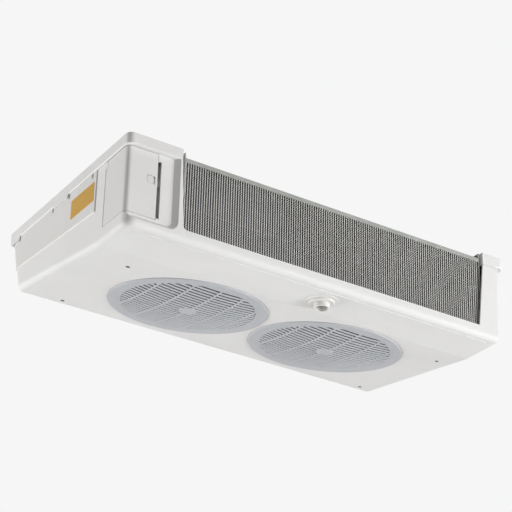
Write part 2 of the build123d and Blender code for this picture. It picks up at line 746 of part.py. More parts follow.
ly0, lz0 = coil_point(COLS[0], 142)
ly1 = ly0 + (PIPE_Z - lz0) * S10 / C10
with BuildPart() as liquid_line:
    with BuildLine() as liquid_path:
        FilletPolyline(
            (fx(50), fy(ly0), fz(lz0)), (fx(50), fy(ly1), fz(PIPE_Z)), (fx(50), fy(471.5), fz(PIPE_Z)), radius=8.0
        )
    with BuildSketch(header_plane(50, COLS[0], 142)):
        Circle(5)
    sweep(path=liquid_path.wires()[0])
    with BuildSketch(front(471.5)):
        with Locations((fx(50), fz(PIPE_Z))):
            Circle(4.75)
            Circle(3.85, mode=Mode.SUBTRACT)
    extrude(amount=-10)
liquid_line.part.label = "liquid_line"
export_step(liquid_line.part, "parts/liquid_line.step")

with BuildPart() as pipe_grommets:
    with BuildSketch(front(466.5)):
        with Locations((fx(74), fz(PIPE_Z))):
            Circle(8.9)
            Circle(7.05, mode=Mode.SUBTRACT)
        with Locations((fx(50), fz(PIPE_Z))):
            Circle(8.9)
            Circle(5.05, mode=Mode.SUBTRACT)
    extrude(amount=-4.8)
pipe_grommets.part.label = "pipe_grommets"
export_step(pipe_grommets.part, "parts/pipe_grommets.step")

with BuildPart() as cable_gland:
    with BuildSketch(front(460)):
        with Locations((fx(24), fz(PIPE_Z))):
            Circle(7.4)
    extrude(amount=-14)
    with BuildSketch(front(471)):
        with Locations((fx(24), fz(PIPE_Z))):
            RegularPolygon(10.5, 6)
    extrude(amount=-5)
    with BuildSketch(front(476)):
        with Locations((fx(24), fz(PIPE_Z))):
            Circle(8.6)
    extrude(amount=-4.5)
    fillet(cable_gland.faces().sort_by(Axis.Y)[-1].edges(), radius=1.5)
    with BuildSketch(front(455)):
        with Locations((fx(24), fz(PIPE_Z))):
            Circle(4.5)
    extrude(amount=-40, mode=Mode.SUBTRACT)
cable_gland.part.label = "cable_gland"
export_step(cable_gland.part, "parts/cable_gland.step")

# ---------------------------------------------------------------- posts, hinges
with BuildPart() as support_posts:
    for sx, sy in SCREWS:
        z0 = SLOPE * sy + 13.0
        with BuildSketch(level(z0)):
            with Locations((fx(sx), fy(sy))):
                Circle(6)
        extrude(amount=HEIGHT - SHEET - z0)
        with BuildSketch(level(z0)):
            with Locations((fx(sx), fy(sy))):
                Circle(2.2)
        extrude(amount=14, mode=Mode.SUBTRACT)
support_posts.part.label = "support_posts"
export_step(support_posts.part, "parts/support_posts.step")

with BuildPart() as hinge_brackets:
    for hx in HINGE_X:
        # two ears on a foot under the top plate
        for ex in (hx - 17, hx + 14):
            with BuildSketch(side(ex)):
                with BuildLine():
                    Polyline(
                        (fy(HINGE_Y - 6), fz(HINGE_Z)), (fy(HINGE_Y + 6), fz(HINGE_Z)), (fy(HINGE_Y + 6), fz(HEIGHT - SHEET)),
                        (fy(HINGE_Y - 22), fz(HEIGHT - SHEET)), (fy(HINGE_Y - 22), fz(HEIGHT - SHEET - 8)), close=True,
                    )
                make_face()
                with Locations((fy(HINGE_Y), fz(HINGE_Z))):
                    Circle(6)
            extrude(amount=3)
        with BuildSketch(level(HEIGHT - SHEET - 2.5)):
            with Locations((fx(hx), fy(HINGE_Y - 8))):
                Rectangle(34, 28)
        extrude(amount=2.5)
    with BuildSketch(side(HINGE_X[0] - 30)):
        with Locations((fy(HINGE_Y), fz(HINGE_Z))):
            Circle(4.0)
    extrude(amount=700, mode=Mode.SUBTRACT)
hinge_brackets.part.label = "hinge_brackets"
export_step(hinge_brackets.part, "parts/hinge_brackets.step")

with BuildPart() as hinge_pins:
    for hx in HINGE_X:
        with BuildSketch(side(hx - 18.5)):
            with Locations((fy(HINGE_Y), fz(HINGE_Z))):
                Circle(4.0)
        extrude(amount=37)
hinge_pins.part.label = "hinge_pins"
export_step(hinge_pins.part, "parts/hinge_pins.step")

with BuildPart() as hinge_leaves:
    for hx in HINGE_X:
        with BuildSketch(side(hx - 13.5)):
            with BuildLine():
                # leaf that lies on the inside of the leaning back wall
                Polyline(
                    (fy(HINGE_Y - 5.4), fz(HINGE_Z)), (fy(back_y(146) - 6.0), fz(146)), (fy(back_y(108) - 6.0), fz(108)),
                    (fy(back_y(108) - 3.2), fz(108)), (fy(back_y(146) - 3.2), fz(146)), (fy(HINGE_Y + 2), fz(HINGE_Z - 4)), close=True,
                )
            make_face()
            with Locations((fy(HINGE_Y), fz(HINGE_Z))):
                Circle(6)
        extrude(amount=27)
    with BuildSketch(side(HINGE_X[0] - 30)):
        with Locations((fy(HINGE_Y), fz(HINGE_Z))):
            Circle(4.05)
    extrude(amount=700, mode=Mode.SUBTRACT)
hinge_leaves.part.label = "hinge_leaves"
export_step(hinge_leaves.part, "parts/hinge_leaves.step")

# =====================================================================
# Fitted to the swing-down casing
# =====================================================================
with BuildPart() as drip_tray_liner:
    with BuildSketch(side(112.5)):
        with BuildLine():
            Polyline(
                (fy(3.4), fz(34)), (fy(3.4), fz(26.6)), (fy(11.8), fz(18.1)), (fy(99.5), fz(18.1)), (fy(107.0), fz(19.4)),
                (fy(107.0), fz(30)), (fy(105.5), fz(30)), (fy(105.5), fz(20.7)), (fy(99.4), fz(19.6)), (fy(12.4), fz(19.6)),
                (fy(4.9), fz(27.2)), (fy(4.9), fz(34)), close=True,
            )
        make_face()
    extrude(amount=677.5)
    for x in (112.5, 788.5):
        with BuildSketch(side(x)):
            with BuildLine():
                Polyline(
                    (fy(3.4), fz(28.4)), (fy(3.4), fz(26.6)), (fy(11.8), fz(18.1)), (fy(99.5), fz(18.1)), (fy(107.0), fz(19.4)),
                    (fy(107.0), fz(28.4)), close=True,
                )
            make_face()
        extrude(amount=1.5)
    with BuildSketch(level(15)):
        with Locations((fx(DRAIN_X), fy(DRAIN_Y))):
            Circle(15.8)
    extrude(amount=10, mode=Mode.SUBTRACT)
drip_tray_liner.part.label = "drip_tray_liner"
export_step(drip_tray_liner.part, "parts/drip_tray_liner.step")

STUB_R, THREAD_R, DRAIN_BORE = 14.8, 15.5, 11.5
with BuildPart() as drain_spout:
    with BuildSketch(level(1.3)):
        with Locations((fx(DRAIN_X), fy(DRAIN_Y))):
            Circle(STUB_R)
    extrude(amount=8.5)
    with BuildSketch(level(9.8)):
        with Locations((fx(DRAIN_X), fy(DRAIN_Y))):
            Circle(THREAD_R)
    extrude(amount=11.3)
    with BuildSketch(level(21.1)):
        with Locations((fx(DRAIN_X), fy(DRAIN_Y))):
            Circle(22)
    extrude(amount=2.2)
    with BuildSketch(level(0)):
        with Locations((fx(DRAIN_X), fy(DRAIN_Y))):
            Circle(DRAIN_BORE)
    extrude(amount=30, mode=Mode.SUBTRACT)
    fillet(drain_spout.edges().filter_by(GeomType.CIRCLE).group_by(Axis.Z)[0].sort_by(SortBy.RADIUS)[-1], radius=0.8)
drain_spout.part.label = "drain_spout"
export_step(drain_spout.part, "parts/drain_spout.step")

with BuildPart() as drain_gasket:
    with BuildSketch(level(19.6)):
        with Locations((fx(DRAIN_X), fy(DRAIN_Y))):
            Circle(21.5)
            Circle(15.7, mode=Mode.SUBTRACT)
    extrude(amount=1.5)
drain_gasket.part.label = "drain_gasket"
export_step(drain_gasket.part, "parts/drain_gasket.step")

with BuildPart() as drain_nut:
    with BuildSketch(level(9.8)):
        with Locations((fx(DRAIN_X), fy(DRAIN_Y))):
            Circle(23.5)
    extrude(amount=3.2)
    fillet(drain_nut.edges().group_by(Axis.Z)[0], radius=1.6)
    with BuildSketch(level(9)):
        with Locations((fx(DRAIN_X), fy(DRAIN_Y))):
            Circle(15.6)
    extrude(amount=6, mode=Mode.SUBTRACT)
drain_nut.part.label = "drain_nut"
export_step(drain_nut.part, "parts/drain_nut.step")

# ---------------------------------------------------------------- fan guards
# Drawn in the left fan's own plane: a flat ring, and a shallow dome of slats
# that run along the unit, tied by five ribs that run front to back.
FP = Plane(origin=F.origin, x_dir=F.x_dir, z_dir=-F.y_dir)      # radius, height
FAN_AXIS = Axis(F.origin, F.z_dir)

RIB_PITCH, RIB_W = 51.0, 3.2
RIM = 131.0             # where the bars run out inside the flat ring


def dome_height(r2):
    """Height of the dome's middle surface at a squared distance from the fan axis."""
    return -DOME * (1 - r2 / GRILLE_R ** 2)


def arch(reach, c, below, above):
    """Outline of one bar that follows the dome in short straight facets."""
    xs = [reach * (i / 6.0) for i in range(-6, 7)]
    line = [(x, dome_height(x * x + c * c)) for x in xs]
    return [(x, h - below) for x, h in line] + [(x, h + above) for x, h in reversed(line)]


bars = []
for k in range(12):
    for sign in (-1, 1):
        # slats run along the unit; the outermost one closes the ring's edge
        c, wide = (sign * (k + 0.5) * SLAT_PITCH, SLAT_W) if k < 11 else (sign * 124.6, 7.8)
        with BuildPart() as bar:
            with BuildSketch(Plane(origin=F.origin + F.y_dir * (c + wide / 2), x_dir=F.x_dir, z_dir=-F.y_dir)):
                with BuildLine():
                    Polyline(*arch(sqrt(RIM ** 2 - c ** 2), c, 1.3, 1.3), close=True)
                make_face()
            extrude(amount=wide)
        bars.append(bar.part)
for k in range(-2, 3):
    c = k * RIB_PITCH
    with BuildPart() as bar:
        with BuildSketch(Plane(origin=F.origin + F.x_dir * (c - RIB_W / 2), x_dir=F.y_dir, z_dir=F.x_dir)):
            with BuildLine():
                Polyline(*arch(sqrt(RIM ** 2 - c ** 2), c, 2.0, 2.3), close=True)
            make_face()
        extrude(amount=RIB_W)
    bars.append(bar.part)

with BuildPart() as fan_guard_left:
    with BuildSketch(F.offset(-1.9)):
        Circle(GUARD_R)
        Circle(GRILLE_R - 0.6, mode=Mode.SUBTRACT)
    extrude(amount=3.35)
    chamfer(fan_guard_left.edges().filter_by(GeomType.CIRCLE).sort_by(SortBy.RADIUS)[-2:].sort_by(Axis.Z)[0], length=0.8)
    with BuildSketch(F.offset(-DOME - 2.4)):
        Circle(17)
    extrude(amount=4.9)
    add(bars)
    with BuildSketch(F.offset(-0.3)):
        with PolarLocations(141, 4, start_angle=0):
            Circle(1.6)
    extrude(amount=10, mode=Mode.SUBTRACT)
fan_guard_left.part.label = "fan_guard_left"
export_step(fan_guard_left.part, "parts/fan_guard_left.step")

with BuildPart() as fan_guard_right:
    add(fan_guard_left.part.moved(TO_RIGHT_FAN))
fan_guard_right.part.label = "fan_guard_right"
export_step(fan_guard_right.part, "parts/fan_guard_right.step")

with BuildPart() as inlet_ring_left:
    with BuildSketch(FP):
        with BuildLine():
            Polyline(
                (146.5, 3.6), (132.5, 3.6), (126.6, 8.4), (124.6, 15.0), (124.6, 34.0), (126.4, 34.0), (126.4, 15.4), (128.1, 9.6),
                (133.2, 5.4), (146.5, 5.4), close=True,
            )
        make_face()
    revolve(axis=FAN_AXIS)
    with BuildSketch(F):
        with PolarLocations(141, 4, start_angle=0):
            Circle(1.8)
    extrude(amount=12, mode=Mode.SUBTRACT)
inlet_ring_left.part.label = "inlet_ring_left"
export_step(inlet_ring_left.part, "parts/inlet_ring_left.step")

with BuildPart() as inlet_ring_right:
    add(inlet_ring_left.part.moved(TO_RIGHT_FAN))
inlet_ring_right.part.label = "inlet_ring_right"
export_step(inlet_ring_right.part, "parts/inlet_ring_right.step")

with BuildPart() as guard_screws:
    for i in (0, 1):
        with BuildSketch(fan_plane(i).offset(-0.2)):
            with PolarLocations(141, 4, start_angle=0):
                Circle(1.5)
        extrude(amount=5.6)
        with BuildSketch(fan_plane(i).offset(5.4)):
            with PolarLocations(141, 4, start_angle=0):
                Circle(3.0)
        extrude(amount=2)
guard_screws.part.label = "guard_screws"
export_step(guard_screws.part, "parts/guard_screws.step")

# ---------------------------------------------------------------- motors
with BuildPart() as motor_bracket_left:
    with BuildSketch(F.offset(52)):
        Circle(44)
        with Locations(Location((0, 0), 45), Location((0, 0), -45)):
            Rectangle(330, 16)
    extrude(amount=2.5)
    with BuildSketch(F.offset(9)):
        with PolarLocations(158, 4, start_angle=45):
            Circle(5)
    extrude(amount=43)
    with BuildSketch(F.offset(8)):
        with PolarLocations(158, 4, start_angle=45):
            Circle(2.2)
    extrude(amount=60, mode=Mode.SUBTRACT)
    with BuildSketch(F.offset(45)):
        Circle(11)
        with PolarLocations(30, 4, start_angle=45):
            Circle(2.2)
    extrude(amount=20, mode=Mode.SUBTRACT)
motor_bracket_left.part.label = "motor_bracket_left"
export_step(motor_bracket_left.part, "parts/motor_bracket_left.step")

with BuildPart() as motor_bracket_right:
    add(motor_bracket_left.part.moved(TO_RIGHT_FAN))
motor_bracket_right.part.label = "motor_bracket_right"
export_step(motor_bracket_right.part, "parts/motor_bracket_right.step")

with BuildPart() as bracket_screws:
    for i in (0, 1):
        with BuildSketch(fan_plane(i).offset(5.2)):
            with PolarLocations(158, 4, start_angle=45):
                Circle(1.9)
        extrude(amount=49.3)
        with BuildSketch(fan_plane(i).offset(54.5)):
            with PolarLocations(158, 4, start_angle=45):
                Circle(4.0)
        extrude(amount=2.5)
bracket_screws.part.label = "bracket_screws"
export_step(bracket_screws.part, "parts/bracket_screws.step")

with BuildPart() as motor_left:
    with BuildSketch(F.offset(54.5)):
        Circle(42)
    extrude(amount=48)
    fillet(motor_left.faces().sort_by(Axis.Z)[-1].edges(), radius=5)
    with BuildSketch(F.offset(54.5)):
        Circle(4.05)
    extrude(amount=30, mode=Mode.SUBTRACT)
    with BuildSketch(F.offset(54.5)):
        with PolarLocations(30, 4, start_angle=45):
            Circle(2.0)
    extrude(amount=9, mode=Mode.SUBTRACT)
motor_left.part.label = "motor_left"
export_step(motor_left.part, "parts/motor_left.step")

with BuildPart() as motor_right:
    add(motor_left.part.moved(TO_RIGHT_FAN))
motor_right.part.label = "motor_right"
export_step(motor_right.part, "parts/motor_right.step")

with BuildPart() as motor_screws:
    for i in (0, 1):
        with BuildSketch(fan_plane(i).offset(52)):
            with PolarLocations(30, 4, start_angle=45):
                Circle(1.9)
        extrude(amount=11)
        with BuildSketch(fan_plane(i).offset(49.6)):
            with PolarLocations(30, 4, start_angle=45):
                Circle(3.4)
        extrude(amount=2.4)
motor_screws.part.label = "motor_screws"
export_step(motor_screws.part, "parts/motor_screws.step")

with BuildPart() as motor_shaft_left:
    with BuildSketch(F.offset(17)):
        Circle(4.0)
    extrude(amount=65)
motor_shaft_left.part.label = "motor_shaft_left"
export_step(motor_shaft_left.part, "parts/motor_shaft_left.step")

with BuildPart() as motor_shaft_right:
    add(motor_shaft_left.part.moved(TO_RIGHT_FAN))
motor_shaft_right.part.label = "motor_shaft_right"
export_step(motor_shaft_right.part, "parts/motor_shaft_right.step")

# one twisted blade, lofted from a steep root to a flat tip
BLADES = 5
with BuildPart() as blade:
    for r, pitch, chord, thick in ((29.0, 48.0, 34.0, 3.2), (75.0, 33.0, 52.0, 2.6), (117.0, 22.0, 62.0, 2.0)):
        a = radians(pitch)
        o = F.origin + F.x_dir * r + F.z_dir * 29.0
        with BuildSketch(Plane(origin=o, x_dir=F.y_dir * cos(a) + F.z_dir * sin(a), z_dir=F.x_dir)):
            RectangleRounded(chord, thick, thick * 0.45)
    loft()

with BuildPart() as fan_rotor_left:
    with BuildSketch(F.offset(16)):
        Circle(32)
    extrude(amount=27)
    fillet(fan_rotor_left.faces().sort_by(Axis.Z)[0].edges(), radius=6)
    for k in range(BLADES):
        add(blade.part.rotate(FAN_AXIS, 360.0 / BLADES * k))
    with BuildSketch(F.offset(17)):
        Circle(4.0)
    extrude(amount=40, mode=Mode.SUBTRACT)
fan_rotor_left.part.label = "fan_rotor_left"
export_step(fan_rotor_left.part, "parts/fan_rotor_left.step")

with BuildPart() as fan_rotor_right:
    add(fan_rotor_left.part.moved(TO_RIGHT_FAN))
fan_rotor_right.part.label = "fan_rotor_right"
export_step(fan_rotor_right.part, "parts/fan_rotor_right.step")

# ---------------------------------------------------------------- casing screws
with BuildPart() as casing_screws:
    for sx, sy in SCREWS:
        z0 = SLOPE * sy + 1.6
        with BuildSketch(level(z0)):
            with Locations((fx(sx), fy(sy))):
                Circle(4.1)
                RegularPolygon(2.2, 6, mode=Mode.SUBTRACT)
        extrude(amount=1.8)
        with BuildSketch(level(z0 + 1.8)):
            with Locations((fx(sx), fy(sy))):
                Circle(4.1)
        extrude(amount=1.6)
        with BuildSketch(level(z0 + 3.4)):
            with Locations((fx(sx), fy(sy))):
                Circle(2.0)
        extrude(amount=7.4)
casing_screws.part.label = "casing_screws"
export_step(casing_screws.part, "parts/casing_screws.step")

# ---------------------------------------------------------------- terminal box
TB_X0, TB_X1, TB_Y0, TB_Y1, TB_Z0, TB_Z1 = 7.0, 38.0, 125.0, 205.0, 100.0, 150.0
with BuildPart() as terminal_box:
    with BuildSketch(side(TB_X0)):
        with Locations((fy((TB_Y0 + TB_Y1) / 2), fz((TB_Z0 + TB_Z1) / 2))):
            RectangleRounded(TB_Y1 - TB_Y0, TB_Z1 - TB_Z0, 3)
    extrude(amount=TB_X1 - TB_X0)
    with BuildSketch(side(TB_X0 + 2)):
        with Locations((fy((TB_Y0 + TB_Y1) / 2), fz((TB_Z0 + TB_Z1) / 2))):
            RectangleRounded(TB_Y1 - TB_Y0 - 4, TB_Z1 - TB_Z0 - 4, 2)
    extrude(amount=60, mode=Mode.SUBTRACT)
terminal_box.part.label = "terminal_box"
export_step(terminal_box.part, "parts/terminal_box.step")

with BuildPart() as terminal_lid:
    with BuildSketch(side(TB_X1)):
        with Locations((fy((TB_Y0 + TB_Y1) / 2), fz((TB_Z0 + TB_Z1) / 2))):
            RectangleRounded(TB_Y1 - TB_Y0, TB_Z1 - TB_Z0, 3)
    extrude(amount=2.5)
terminal_lid.part.label = "terminal_lid"
export_step(terminal_lid.part, "parts/terminal_lid.step")

with BuildPart() as terminal_block:
    with BuildSketch(side(TB_X0 + 2)):
        with Locations((fy(165), fz(122))):
            Rectangle(62, 16)
    extrude(amount=14)
    with BuildSketch(side(TB_X0 + 10)):
        with Locations((fy(165), fz(122))):
            with GridLocations(10, 1, 6, 1):
                Circle(2.4)
    extrude(amount=8, mode=Mode.SUBTRACT)
terminal_block.part.label = "terminal_block"
export_step(terminal_block.part, "parts/terminal_block.step")

# leads held inside the casing, from each motor to the terminal box
LEAD_R = 3.0


def fan_point(i, w):
    """Depth and height of the point at height w on a fan's axis."""
    return FAN_Y - S8 * w, SLOPE * FAN_Y + C8 * w


m0y, m0z = fan_point(0, 88.0)
with BuildPart() as motor_lead_left:
    with BuildLine() as lead_path_left:
        FilletPolyline(
            (fx(FAN_X[0] - 42.3), fy(m0y), fz(m0z)), (fx(18), fy(m0y), fz(m0z)), (fx(18), fy(TB_Y1), fz(m0z)), radius=22.0
        )
    with BuildSketch(Plane(origin=(fx(FAN_X[0] - 42.3), fy(m0y), fz(m0z)), x_dir=(0, 1, 0), z_dir=(-1, 0, 0))):
        Circle(LEAD_R)
    sweep(path=lead_path_left.wires()[0])
motor_lead_left.part.label = "motor_lead_left"
export_step(motor_lead_left.part, "parts/motor_lead_left.step")

m1y, m1z = fan_point(1, 97.0)
with BuildPart() as motor_lead_right:
    with BuildLine() as lead_path_right:
        FilletPolyline(
            (fx(FAN_X[1] - 42.3), fy(m1y), fz(m1z)), (fx(480), fy(m1y), fz(m1z)), (fx(430), fy(305), fz(m1z)), (fx(30), fy(305), fz(m1z)),
            (fx(30), fy(TB_Y1), fz(m1z)), radius=24.0,
        )
    with BuildSketch(Plane(origin=(fx(FAN_X[1] - 42.3), fy(m1y), fz(m1z)), x_dir=(0, 1, 0), z_dir=(-1, 0, 0))):
        Circle(LEAD_R)
    sweep(path=lead_path_right.wires()[0])
motor_lead_right.part.label = "motor_lead_right"
export_step(motor_lead_right.part, "parts/motor_lead_right.step")
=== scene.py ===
from math import cos, sin, radians, sqrt, pi

import bpy
import numpy as np
from mathutils import Matrix, Vector


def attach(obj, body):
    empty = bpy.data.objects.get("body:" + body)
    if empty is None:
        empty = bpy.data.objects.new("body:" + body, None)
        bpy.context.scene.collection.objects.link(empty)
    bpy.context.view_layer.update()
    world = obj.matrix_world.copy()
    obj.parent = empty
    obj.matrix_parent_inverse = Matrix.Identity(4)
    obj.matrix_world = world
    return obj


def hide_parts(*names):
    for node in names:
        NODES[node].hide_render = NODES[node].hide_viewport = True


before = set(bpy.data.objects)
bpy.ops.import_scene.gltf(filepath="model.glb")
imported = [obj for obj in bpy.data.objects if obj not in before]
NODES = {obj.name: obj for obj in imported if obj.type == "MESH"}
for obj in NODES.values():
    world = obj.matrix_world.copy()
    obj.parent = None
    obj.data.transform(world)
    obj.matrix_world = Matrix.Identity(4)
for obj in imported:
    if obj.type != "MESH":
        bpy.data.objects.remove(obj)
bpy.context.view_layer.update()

# ------------------------------------------------------------------ positions
# millimetres from the collar's left end, its front edge and the lowest datum,
# turned into metres in the row frame
LENGTH, DEPTH, HEIGHT = 835.0, 471.0, 195.7


def P(x, y, z):
    return Vector(((x - LENGTH / 2) / 1000, (y - DEPTH / 2) / 1000, (z - HEIGHT) / 1000))


def PA(a):
    """The same for an array of points."""
    return (np.asarray(a, float) - np.array([LENGTH / 2, DEPTH / 2, HEIGHT])) / 1000.0


COIL_Y, COIL_Z = 6.5, 32.0
SLOPE = 0.1455
S8, C8 = SLOPE / sqrt(1 + SLOPE ** 2), 1 / sqrt(1 + SLOPE ** 2)
FAN_X, FAN_Y = (277.1, 586.9), 253.2


def fan_points(i, a):
    """Local fan coordinates (along the unit, up the slope, into the casing) to row-frame metres."""
    a = np.asarray(a, float)
    x = FAN_X[i] + a[:, 0]
    y = FAN_Y + a[:, 1] * C8 - a[:, 2] * S8
    z = SLOPE * FAN_Y + a[:, 1] * S8 + a[:, 2] * C8
    return PA(np.stack([x, y, z], 1))


# ------------------------------------------------------------------ materials
def new_material(name):
    m = bpy.data.materials.new(name)
    m.use_nodes = True
    nt = m.node_tree
    bsdf = nt.nodes.get("Principled BSDF")
    return m, nt, bsdf


def ramp(nt, fac, stops):
    n = nt.nodes.new("ShaderNodeValToRGB")
    els = n.color_ramp.elements
    while len(els) < len(stops):
        els.new(0.5)
    for e, (pos, col) in zip(els, stops):
        e.position = pos
        e.color = (*col, 1) if len(col) == 3 else col
    nt.links.new(fac, n.inputs["Fac"])
    return n.outputs["Color"]


def noise(nt, vec, scale, detail=4.0, rough=0.5, distort=0.0):
    n = nt.nodes.new("ShaderNodeTexNoise")
    n.inputs["Scale"].default_value = scale
    n.inputs["Detail"].default_value = detail
    n.inputs["Roughness"].default_value = rough
    n.inputs["Distortion"].default_value = distort
    nt.links.new(vec, n.inputs["Vector"])
    return n.outputs["Fac"]


def coords(nt, stretch=(1, 1, 1)):
    tc = nt.nodes.new("ShaderNodeTexCoord")
    mp = nt.nodes.new("ShaderNodeMapping")
    mp.inputs["Scale"].default_value = stretch
    nt.links.new(tc.outputs["Object"], mp.inputs["Vector"])
    return mp.outputs["Vector"]


def bump(nt, height, strength, distance, bsdf, after=None):
    b = nt.nodes.new("ShaderNodeBump")
    b.inputs["Strength"].default_value = strength
    b.inputs["Distance"].default_value = distance
    nt.links.new(height, b.inputs["Height"])
    if after is not None:
        nt.links.new(after, b.inputs["Normal"])
    nt.links.new(b.outputs["Normal"], bsdf.inputs["Normal"])
    return b.outputs["Normal"]


def tint(c, k):
    return tuple(min(1.0, v * k) for v in c)


def plastic(name, colour, rough=0.42, spread=0.025, grain=1400.0, grain_strength=0.10, rough_spread=0.08, spec=0.45):
    """Moulded plastic: faint flow variation in tone, spark-eroded grain, slightly uneven gloss."""
    m, nt, b = new_material(name)
    v = coords(nt)
    flow = noise(nt, v, 5.0, 3.0, 0.55, 0.6)
    nt.links.new(ramp(nt, flow, [(0.3, tint(colour, 1 - spread)), (0.7, tint(colour, 1 + spread))]), b.inputs["Base Color"])
    fine = noise(nt, v, 60.0, 3.0)
    nt.links.new(ramp(nt, fine, [(0.3, (rough - rough_spread,) * 3), (0.7, (rough + rough_spread,) * 3)]), b.inputs["Roughness"])
    bump(nt, noise(nt, v, grain, 2.0), grain_strength, 0.0002, b)
    b.inputs["Specular IOR Level"].default_value = spec
    return m


def metal(name, colour, rough=0.35, stretch=(1, 1, 1), brush=300.0, strength=0.15, spread=0.06, metallic=1.0):
    """Rolled or drawn metal: fine lines along one direction and patchy dulling."""
    m, nt, b = new_material(name)
    v = coords(nt, stretch)
    base = coords(nt)
    lines = noise(nt, v, brush, 3.0, 0.6)
    patch = noise(nt, base, 18.0, 4.0, 0.6, 0.8)
    nt.links.new(ramp(nt, patch, [(0.28, tint(colour, 1 - spread * 1.5)), (0.72, tint(colour, 1 + spread))]), b.inputs["Base Color"])
    nt.links.new(ramp(nt, lines, [(0.3, (rough - 0.07,) * 3), (0.7, (rough + 0.1,) * 3)]), b.inputs["Roughness"])
    bump(nt, lines, strength, 0.0003, b)
    b.inputs["Metallic"].default_value = metallic
    return m


def rubber(name, colour, rough=0.75, spread=0.15, grain=900.0):
    m, nt, b = new_material(name)
    v = coords(nt)
    nt.links.new(ramp(nt, noise(nt, v, 120.0, 5.0), [(0.3, tint(colour, 1 - spread)), (0.7, tint(colour, 1 + spread))]), b.inputs["Base Color"])
    b.inputs["Roughness"].default_value = rough
    bump(nt, noise(nt, v, grain, 4.0), 0.35, 0.0004, b)
    return m


def galvanised(name, colour, rough=0.42):
    """Zinc coating with its spangle."""
    m, nt, b = new_material(name)
    v = coords(nt)
    vor = nt.nodes.new("ShaderNodeTexVoronoi")
    vor.inputs["Scale"].default_value = 160.0
    nt.links.new(v, vor.inputs["Vector"])
    nt.links.new(ramp(nt, vor.outputs["Color"], [(0.0, tint(colour, 0.86)), (1.0, tint(colour, 1.08))]), b.inputs["Base Color"])
    nt.links.new(ramp(nt, vor.outputs["Color"], [(0.0, (rough - 0.1,) * 3), (1.0, (rough + 0.12,) * 3)]), b.inputs["Roughness"])
    bump(nt, noise(nt, v, 500.0, 2.0), 0.08, 0.0002, b)
    b.inputs["Metallic"].default_value = 1.0
    return m


WHITE = (0.80, 0.80, 0.795)
M = {
    "case": plastic("white_case_plastic", WHITE, rough=0.60, spec=0.3),
    "collar": plastic("white_collar_plastic", (0.80, 0.80, 0.79), rough=0.38),
    "cover": plastic("white_cover_plastic", (0.785, 0.785, 0.775), rough=0.40),
    "panel": plastic("white_coated_panel", (0.775, 0.772, 0.76), rough=0.36, grain=2200.0, grain_strength=0.16),
    "guard": plastic("blue_grey_guard_plastic", (0.535, 0.55, 0.58), rough=0.46, grain=1800.0, grain_strength=0.12),
    "drain": plastic("white_drain_plastic", (0.78, 0.765, 0.74), rough=0.35),
    "latch": plastic("white_latch_plastic", (0.76, 0.76, 0.745), rough=0.34),
    # painted shade: dark grey given to the guard slats' faces that rise into the guard, standing for the shade inside
    # the fan chamber
    "guard_painted_shade": plastic("grey_guard_painted_shade_faces", (0.20, 0.205, 0.215), rough=0.6, spec=0.2),
    "ring": plastic("black_ring_plastic", (0.055, 0.058, 0.062), rough=0.5, spread=0.1),
    "rotor": plastic("dark_grey_rotor_plastic", (0.095, 0.10, 0.108), rough=0.45, spread=0.08),
    "motor": plastic("black_motor_paint", (0.06, 0.062, 0.066), rough=0.5, spread=0.1, grain=500.0, grain_strength=0.35),
    "box": plastic("grey_box_plastic", (0.45, 0.46, 0.47), rough=0.5),
    "block": plastic("cream_terminal_plastic", (0.62, 0.58, 0.46), rough=0.45),
    # painted shade: the fin bodies get a dark grey instead of aluminium's light tone, standing for the shade deep
    # between the fins; the front edges below keep the light aluminium tone
    "fin": metal("fin_aluminium_painted_shade", (0.22, 0.22, 0.215), rough=0.48, stretch=(1, 1, 6), brush=420.0, strength=0.2, metallic=0.5),
    "fin_edge": metal("fin_edge_aluminium", (0.82, 0.82, 0.80), rough=0.5, stretch=(1, 1, 3), brush=500.0, strength=0.12, metallic=0.25),
    "sheet": metal("mill_aluminium", (0.60, 0.625, 0.60), rough=0.40, stretch=(0.06, 1, 1), brush=500.0, strength=0.12, metallic=0.6),
    "galv": galvanised("galvanised_steel", (0.56, 0.57, 0.575)),
    "steel": metal("zinc_plated_steel", (0.55, 0.55, 0.54), rough=0.33, brush=700.0),
    "screw": metal("dark_zinc_screw", (0.20, 0.195, 0.19), rough=0.42, brush=700.0, metallic=0.7),
    "copper": metal("bare_copper", (0.72, 0.36, 0.22), rough=0.30, stretch=(0.1, 1, 1), brush=400.0, spread=0.12),
    "clip": metal("spring_clip", (0.42, 0.41, 0.40), rough=0.4, brush=600.0, metallic=0.6),
    # seal strip under the coil; its dark brown tone is painted shadow for the gap between coil and sill
    "seal": rubber("brown_seal_painted_gap_shadow", (0.235, 0.135, 0.075), 0.8),
    "black": rubber("black_rubber", (0.025, 0.025, 0.027), 0.7),
    "amber": plastic("blank_amber_film", (0.62, 0.37, 0.085), rough=0.45, spread=0.03, grain=3000.0, grain_strength=0.02, spec=0.3),
}

